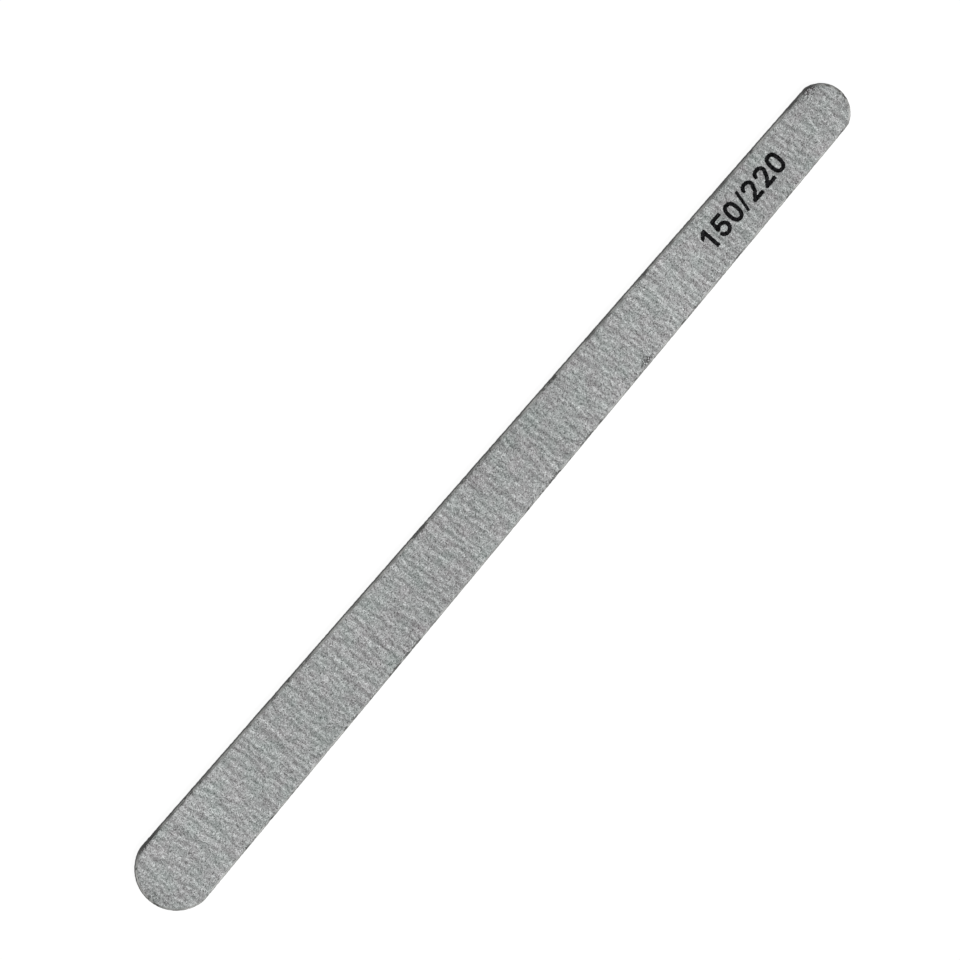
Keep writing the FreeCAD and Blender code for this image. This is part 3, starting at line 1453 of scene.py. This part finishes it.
@dataclass
class GritMark:
    """The grit numbers, printed in ink on the coarse face.

    Args:
        coat: The coat that they are printed on.
        finish: The ink's finish.
        start: Where the first numeral starts along the board.
        baseline: Where the numerals stand across the board.
        height: Height of the numerals.
        digit_width: Width of a nought, a two and a five.
        one_width: Width of a one.
        slash_width: Width of the slash.
        stroke: Width of the digits' strokes.
        slash_stroke: Width of the slash's stroke.
        zero_fullness: Fullness of a nought at its corners.
        spaces: Spaces between the numerals, in order.
        film: Half the thickness of the film of ink.
        ragged: How far the film's edge strays.
        ragged_cell: Length of that straying.
        seed: Picks the straying.
    """

    coat: GrainCoat
    finish: InkFinish
    start: float = 54.79 * MM
    baseline: float = -1.36 * MM
    height: float = 3.86 * MM
    digit_width: float = 2.58 * MM
    one_width: float = 1.64 * MM
    slash_width: float = 1.55 * MM
    stroke: float = 0.71 * MM
    slash_stroke: float = 0.56 * MM
    zero_fullness: float = 1.25
    spaces: Sequence[float] = (1.15 * MM, 0.45 * MM, 0.26 * MM, 0.3 * MM, 0.51 * MM, 0.39 * MM)
    film: float = 0.005 * MM
    ragged: float = 0.035 * MM
    ragged_cell: float = 0.14 * MM
    seed: int = 71

    def _zero(self) -> Numeral:
        """Draws a nought.

        Returns:
            Its width and its strokes.
        """
        middle = (self.digit_width / 2, self.height / 2)
        radii = (middle[0] - self.stroke / 2, middle[1] - self.stroke / 2)
        return self.digit_width, [Stroke(self.stroke, Stroke.arc(middle, radii, 0, 360, self.zero_fullness))]

    def _one(self) -> Numeral:
        """Draws a one.

        Returns:
            Its width and its strokes.
        """
        stem = self.one_width - self.stroke / 2
        flag_shares = ((0.0, 0.7), (0.55, 0.82), (1.0, 1.0))
        flag = [(across * stem, up * self.height) for across, up in flag_shares]
        post = [(stem, -self.stroke), (stem, self.height + self.stroke)]
        return self.one_width, [Stroke(self.stroke, post), Stroke(self.stroke, flag)]

    def _two(self) -> Numeral:
        """Draws a two.

        Returns:
            Its width and its strokes.
        """
        half = self.stroke / 2
        bow_share, shift_share, foot_share, neck_shares = 0.29, 0.02, 1.25, (0.62, 0.38)
        first_turn, last_turn = 172, -38
        middle = (self.digit_width / 2 - shift_share * self.height, (1 - bow_share) * self.height)
        radii = (self.digit_width / 2 - half, bow_share * self.height - half)
        bow = Stroke.arc(middle, radii, first_turn, last_turn)
        neck = (neck_shares[0] * self.digit_width, neck_shares[1] * self.height)
        foot = (foot_share * half, half)
        lines = ([*bow, neck, foot], [foot, (self.digit_width + half, half)])
        return self.digit_width, [Stroke(self.stroke, line) for line in lines]

    def _five(self) -> Numeral:
        """Draws a five.

        Returns:
            Its width and its strokes.
        """
        half = self.stroke / 2
        bowl_share, reach_share, corner_share, end_share, waist_shares = 0.335, 0.53, 0.24, 0.93, (0.13, 0.5)
        first_turn, last_turn = 142, -158
        middle = ((1 - reach_share) * self.digit_width, bowl_share * self.height)
        radii = (reach_share * self.digit_width - half, bowl_share * self.height - half)
        bowl = Stroke.arc(middle, radii, first_turn, last_turn)
        corner = (corner_share * self.digit_width, self.height - half)
        waist = (waist_shares[0] * self.digit_width, waist_shares[1] * self.height)
        bar = [corner, (end_share * self.digit_width, self.height - half)]
        return self.digit_width, [Stroke(self.stroke, line) for line in (bar, [corner, waist, bowl[0]], bowl)]

    def _slash(self) -> Numeral:
        """Draws a slash.

        Returns:
            Its width and its strokes.
        """
        lean_share, overrun_share = 1.3, 0.15
        middle = self.slash_width / 2
        lean = lean_share * (middle - self.slash_stroke / 2)
        overrun = overrun_share * self.height
        ends = [(middle - lean, -overrun), (middle + lean, self.height + overrun)]
        return self.slash_width, [Stroke(self.slash_stroke, ends)]

    def depth(self, x: np.ndarray, y: np.ndarray) -> np.ndarray:
        """How far places lie outside the print, with its edge broken by the grain.

        Args:
            x: Places along the board.
            y: Places across it.

        Returns:
            Distances to the print's edge, below zero inside it.
        """
        up = y - self.baseline
        best = np.full(x.shape, np.inf)
        left = self.start
        numerals = (self._one, self._five, self._zero, self._slash, self._two, self._two, self._zero)
        for numeral, space in zip(numerals, (*self.spaces, 0.0)):
            width, strokes = numeral()
            box = np.maximum(np.maximum(left - x, x - left - width), np.maximum(-up, up - self.height))
            for stroke in strokes:
                inside = stroke.distance(x - left, up) - stroke.width / 2
                best = np.minimum(best, np.maximum(inside, box))
            left += width + space
        return best + self.ragged * Grain(self.seed, (self.ragged_cell, self.ragged_cell)).at(x, y)

    def build(self) -> bpy.types.Object:
        """Makes the film of ink.

        Returns:
            The new piece.
        """
        middle = self.coat.points[self.coat.faces].mean(1)
        near = middle[:, 0] > self.start - self.height
        near &= np.abs(middle[:, 1] - self.baseline - self.height / 2) < self.height
        points, faces = self._trim(*self._split(self.coat.points, self.coat.faces[near]))
        piece = new_piece("grit_mark_ink", *self._thicken(points, faces), "")
        piece.data.materials.append(self.finish.build())
        return piece

    @staticmethod
    def _split(points: np.ndarray, faces: np.ndarray) -> tuple[np.ndarray, np.ndarray]:
        """Splits each face into four, without bending it.

        Args:
            points: The faces' points.
            faces: Point numbers of each face.

        Returns:
            The points, with those halfway along the edges added, and the smaller faces.
        """
        sides = np.sort(np.concatenate([faces[:, [0, 1]], faces[:, [1, 2]], faces[:, [2, 0]]]), 1)
        edges, numbers = np.unique(sides, axis=0, return_inverse=True)
        ab, bc, ca = numbers.reshape(3, -1) + len(points)
        a, b, c = faces.T
        parts = [(a, ab, ca), (ab, b, bc), (ca, bc, c), (ab, bc, ca)]
        smaller = np.concatenate([np.stack(part, 1) for part in parts])
        return np.concatenate([points, points[edges].mean(1)]), smaller

    def _trim(self, points: np.ndarray, faces: np.ndarray) -> tuple[np.ndarray, list[list[int]]]:
        """Cuts the faces along the print's edge.

        Args:
            points: The faces' points.
            faces: Point numbers of each face.

        Returns:
            The points, with those on the edge added, and the faces inside it.
        """
        depth = self.depth(points[:, 0], points[:, 1])
        cut: dict[tuple[int, int], int] = {}
        added: list[np.ndarray] = []
        kept: list[list[int]] = []

        def crossing(a: int, b: int) -> int:
            """Finds where the print's edge crosses from one point to another.

            Args:
                a: Number of the one point.
                b: Number of the other.

            Returns:
                Number of the point on the print's edge.
            """
            key = (min(a, b), max(a, b))
            if key not in cut:
                share = depth[key[0]] / (depth[key[0]] - depth[key[1]])
                added.append(points[key[0]] + share * (points[key[1]] - points[key[0]]))
                cut[key] = len(points) + len(added) - 1
            return cut[key]

        for face in faces[(depth[faces] < 0).any(1)].tolist():
            outline: list[int] = []
            for a, b in zip(face, face[1:] + face[:1]):
                if depth[a] < 0:
                    outline.append(a)
                if (depth[a] < 0) != (depth[b] < 0):
                    outline.append(crossing(a, b))
            kept.append(outline)
        return np.concatenate([points, np.array(added).reshape(-1, 3)]), kept

    def _thicken(self, points: np.ndarray, faces: list[list[int]]) -> tuple[np.ndarray, list[list[int]]]:
        """Gives the film its thickness: half above the grain and half soaked into it.

        Args:
            points: The film's points.
            faces: Point numbers of each face.

        Returns:
            The points and faces of the closed film.
        """
        used = sorted({corner for face in faces for corner in face})
        number = {corner: n for n, corner in enumerate(used)}
        top = [[number[corner] for corner in face] for face in faces]
        count = len(used)
        lift = np.array([0, 0, self.film])
        both = np.concatenate([points[used] + lift, points[used] - lift])
        sides = {(a, b) for face in top for a, b in zip(face, face[1:] + face[:1])}
        under = [[corner + count for corner in reversed(face)] for face in top]
        walls = [[a, a + count, b + count, b] for a, b in sorted(sides) if (b, a) not in sides]
        return both, top + under + [wall[::-1] for wall in walls]


# Stage


@dataclass(frozen=True)
class Studio:
    """White floor and soft light.

    Args:
        key_lean: How far the main lamp leans from straight above towards -Y, in radians.
        key_level: The main lamp's share of the light on a level surface.
        key_spread: How wide the main lamp looks, in radians.
        fill_level: The share that comes evenly from all round.
        floor_size: Length of the floor's sides.
        floor_colour: The floor's own colour.
        floor_glow: Brightness that makes the floor white where it is looked at.
        glow_share: Share of that brightness in the floor's look; the rest takes the shadow.
        bounce: Light that the floor throws back at the board.
    """

    key_lean: float = math.radians(30)
    key_level: float = 0.62
    key_spread: float = math.radians(24)
    fill_level: float = 0.38
    floor_size: float = 6.0
    floor_colour: Colour = (0.8, 0.8, 0.8)
    floor_glow: float = 1.07
    glow_share: float = 0.88
    bounce: float = 0.8

    def build(self) -> None:
        """Makes the floor, the lamp and the surroundings."""
        self._lamp()
        self._floor()
        self._surroundings()
        bpy.context.scene.view_settings.view_transform = "Standard"

    def _lamp(self) -> None:
        """Hangs the main lamp."""
        lamp = bpy.data.lights.new("key_lamp", "SUN")
        lamp.energy = self.key_level * math.pi / math.cos(self.key_lean)
        lamp.angle = self.key_spread
        holder = bpy.data.objects.new("key_lamp", lamp)
        bpy.context.scene.collection.objects.link(holder)
        holder.rotation_euler = (self.key_lean, 0.0, 0.0)
        holder.location = (0.0, -math.sin(self.key_lean), math.cos(self.key_lean))

    def _surroundings(self) -> None:
        """Sets the even light from all round, which looks white."""
        world = bpy.data.worlds.new("studio")
        bpy.context.scene.world = world
        world.use_nodes = True
        graph = Graph(world.node_tree)
        strength = graph.span(self._seen(graph), (0, 1), (self.fill_level, 1.0))
        graph.fill(world.node_tree.nodes["Background"], {"Color": (1.0, 1.0, 1.0), "Strength": strength})

    @staticmethod
    def _seen(graph: Graph) -> Socket:
        """Tells where the background is looked at, straight or in a reflection.

        Args:
            graph: The graph to draw in.

        Returns:
            The socket that is 1 there.
        """
        path = graph.add("LightPath").outputs
        straight_or_clear = graph.sum("MAXIMUM", path["Is Camera Ray"], path["Is Transmission Ray"])
        return graph.sum("MAXIMUM", straight_or_clear, path["Is Glossy Ray"])

    def _floor(self) -> None:
        """Lays the floor, which looks white and keeps a faint shadow."""
        half = self.floor_size / 2
        corners = [(-half, -half, 0), (half, -half, 0), (half, half, 0), (-half, half, 0)]
        mesh = bpy.data.meshes.new("floor")
        mesh.from_pydata(corners, [], [[0, 1, 2, 3]])
        floor = bpy.data.objects.new("floor", mesh)
        bpy.context.scene.collection.objects.link(floor)
        floor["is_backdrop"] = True
        material = bpy.data.materials.new("studio_floor")
        material.cycles.emission_sampling = "NONE"
        material.use_nodes = True
        tree = material.node_tree
        tree.nodes.remove(tree.nodes["Principled BSDF"])
        graph = Graph(tree)
        matt = graph.add("BsdfDiffuse", {"Color": self.floor_colour}).outputs[0]
        glow = graph.add("Emission", {"Strength": self.floor_glow}).outputs[0]
        looked_at = graph.add("MixShader", {0: self.glow_share, 1: matt, 2: glow}).outputs[0]
        bounce = graph.add("Emission", {"Strength": self.bounce}).outputs[0]
        lit = graph.add("MixShader", {0: self._seen(graph), 1: bounce, 2: looked_at}).outputs[0]
        clear = graph.add("BsdfTransparent").outputs[0]
        below = graph.add("NewGeometry").outputs["Backfacing"]
        whole = graph.add("MixShader", {0: below, 1: lit, 2: clear}).outputs[0]
        graph.feed(tree.nodes["Material Output"].inputs["Surface"], whole)
        mesh.materials.append(material)


@dataclass(frozen=True)
class PhotoCamera:
    """The camera: a long lens almost straight above, leaning a little to the +Y side.

    Args:
        target: The point of the board that is placed in the picture.
        length: Length of the board.
        length_pixels: Length of the board in the picture, in pixels.
        lean: How far the view leans from straight down, in radians.
        heading: How far the board's +X is turned up from the picture's right, in radians.
        picture: Width of the picture in pixels.
        place: Where the point falls in the picture, in pixels from its top left corner.
        lens: Focal length in millimetres.
    """

    target: Vector
    length: float
    length_pixels: float = 1065.5
    lean: float = math.radians(8.8)
    heading: float = math.radians(49.56)
    picture: int = 960
    place: Place = (494.63, 495.57)
    lens: float = 250.0

    def build(self) -> bpy.types.Object:
        """Makes the camera.

        Returns:
            The new camera.
        """
        data = bpy.data.cameras.new("photo_camera")
        data.lens = self.lens
        camera = bpy.data.objects.new("photo_camera", data)
        bpy.context.scene.collection.objects.link(camera)
        along = Vector((1, 0, 0))
        back = Vector((0, math.sin(self.lean), math.cos(self.lean)))
        across = back.cross(along)
        right = math.cos(self.heading) * along - math.sin(self.heading) * across
        up = math.sin(self.heading) * along + math.cos(self.heading) * across
        pixel = self.length / self.length_pixels
        offset = [(place - self.picture / 2) * pixel for place in self.place]
        distance = self.picture * pixel * data.lens / data.sensor_width
        where = self.target - offset[0] * right + offset[1] * up + distance * back
        turned = Matrix((right, up, back)).transposed().to_4x4()
        camera.matrix_world = Matrix.Translation(where) @ turned
        bpy.context.scene.camera = camera
        return camera


# The board


@dataclass
class EmeryBoard:
    """The whole board: two abrasive faces round a stack of inner layers, and the printed grit mark.

    Args:
        outline: The die-cut outline.
        edge_step: Spacing of the points round the inner layers.
        core: The stiff plastic strip in the middle.
        tape: The film that holds a paper to the core.
        paper: The paper that carries an abrasive.
        resin: The coat that holds the grain to its paper.
        fine: The grain of the fine face.
        coarse: The grain of the coarse face.
        scuffs: The spots that have been rubbed dark.
    """

    outline: Outline = Outline()
    edge_step: float = 0.17 * MM
    core: EdgeStock = EdgeStock(
        CutEdgeFinish(
            "core_plastic", linear(59, 60, 60), spread=4.8, marks=3000.0, stretch=0.12,
            roughness=(0.45, 0.75), relief=0.03 * MM, chip_tone=linear(28, 28, 28),
        ),
        rows=8, recess=0.0, marks=0.012 * MM, tear=0.006 * MM,
    )
    tape: EdgeStock = EdgeStock(
        CutEdgeFinish(
            "mounting_tape", linear(170, 170, 165), spread=0.25, marks=1800.0, stretch=0.5,
            roughness=(0.35, 0.6), relief=0.02 * MM, chip_tone=linear(76, 76, 74),
        ),
        rows=2, recess=0.025 * MM, marks=0.004 * MM, tear=0.002 * MM,
    )
    paper: EdgeStock = EdgeStock(
        CutEdgeFinish(
            "backing_paper", linear(158, 159, 157), spread=1.8, marks=4200.0, stretch=2.2,
            roughness=(0.8, 0.98), relief=0.03 * MM, chip_tone=linear(76, 76, 74),
        ),
        rows=3, recess=0.0, marks=0.006 * MM, tear=0.014 * MM,
    )
    resin: EdgeStock = EdgeStock(
        CutEdgeFinish(
            "bond_resin", linear(150, 150, 147), spread=0.8, marks=5200.0, stretch=1.0,
            roughness=(0.3, 0.55), relief=0.02 * MM, chip_tone=linear(76, 76, 74),
        ),
        rows=1, recess=0.004 * MM, marks=0.004 * MM, tear=0.006 * MM,
    )
    fine: Grit = Grit(
        GritFinish(
            "fine_grit", linear(153.3, 155.3, 154.9), streak=0.08, spread=0.5, grains=8000.0,
            glint_share=0.03,
        ),
        Ripple(seed=40), grain_height=0.012 * MM, ripple_height=0.008 * MM, bed_depth=0.03 * MM,
    )
    coarse: Grit = Grit(
        GritFinish(
            "coarse_grit", linear(152.5, 154.5, 154.0), streak=0.16, spread=0.76, grains=6800.0,
            glint_share=0.04,
        ),
        Ripple(seed=11), grain_height=0.018 * MM, ripple_height=0.0105 * MM, bed_depth=0.05 * MM,
    )
    scuffs: Sequence[Scuff] = (
        Scuff(33.6 * MM, -4.65 * MM, 1.15 * MM, 0.5 * MM, 1.3),
        Scuff(85.3 * MM, 4.2 * MM, 1.8 * MM, 0.9 * MM, 1.3),
        Scuff(82.5 * MM, 4.8 * MM, 2.6 * MM, 0.35 * MM),
        Scuff(72.2 * MM, -4.4 * MM, 1.3 * MM, 0.2 * MM, 0.4),
        Scuff(63.5 * MM, 4.95 * MM, 3.4 * MM, 0.35 * MM, 0.7),
        Scuff(-81.6 * MM, 6.8 * MM, 2.8 * MM, 0.5 * MM, 1.3),
        Scuff(-87.6 * MM, 0.5 * MM, 0.7 * MM, 3.2 * MM, 0.35),
    )

    def build(self) -> Iterable[bpy.types.Object]:
        """Makes every piece.

        Yields:
            The pieces, from the inside out.
        """
        rim = RimProfile(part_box("coarse_grain_coat")[1].z)
        yield from self._edges(rim)
        yield GrainCoat(self.outline, rim, Face.FINE, self.fine).build()
        printed = GrainCoat(self.outline, rim, Face.COARSE, self.coarse, self.scuffs)
        yield printed.build()
        yield GritMark(printed, InkFinish()).build()

    def _edges(self, rim: RimProfile) -> Iterable[bpy.types.Object]:
        """Makes the inner layers.

        Args:
            rim: The board's rim.

        Yields:
            The layers' pieces, each with a seed of its own.
        """
        ring = self.outline.ring(self.edge_step)
        yield EdgeLayer(ring, rim, "core_strip", self.core, seed=5, scuffs=self.scuffs).build()
        stack = {"mounting_tape": self.tape, "backing_paper": self.paper, "bond_coat": self.resin}
        for face, first_seed in ((Face.FINE, 20), (Face.COARSE, 30)):
            for seed, (layer, stock) in enumerate(stack.items(), start=first_seed):
                yield EdgeLayer(ring, rim, f"{face.word}_{layer}", stock, seed, self.scuffs).build()


def write_sizes() -> None:
    """Gathers the CAD box and the dressed board's box, without keeping them."""
    boxes = {"cad": CAD_BOX, "visual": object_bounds()}
    {name: [list(corner) for corner in box] for name, box in boxes.items()}


def main() -> None:
    """Builds the board, the stage and the camera, in that order."""
    logging.basicConfig(level=logging.INFO, format="%(name)s: %(message)s")
    board = EmeryBoard()
    for piece in board.build():
        LOG.info("%s has %d faces", piece.name, len(piece.data.polygons))
    Studio().build()
    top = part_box("coarse_grain_coat")[1].z
    camera = PhotoCamera(Vector((0.0, 0.0, top / 2)), board.outline.length).build()
    LOG.info("%s stands %.3f m above the floor", camera.name, camera.matrix_world.translation.z)
    write_sizes()


if __name__ == "__main__":
    main()
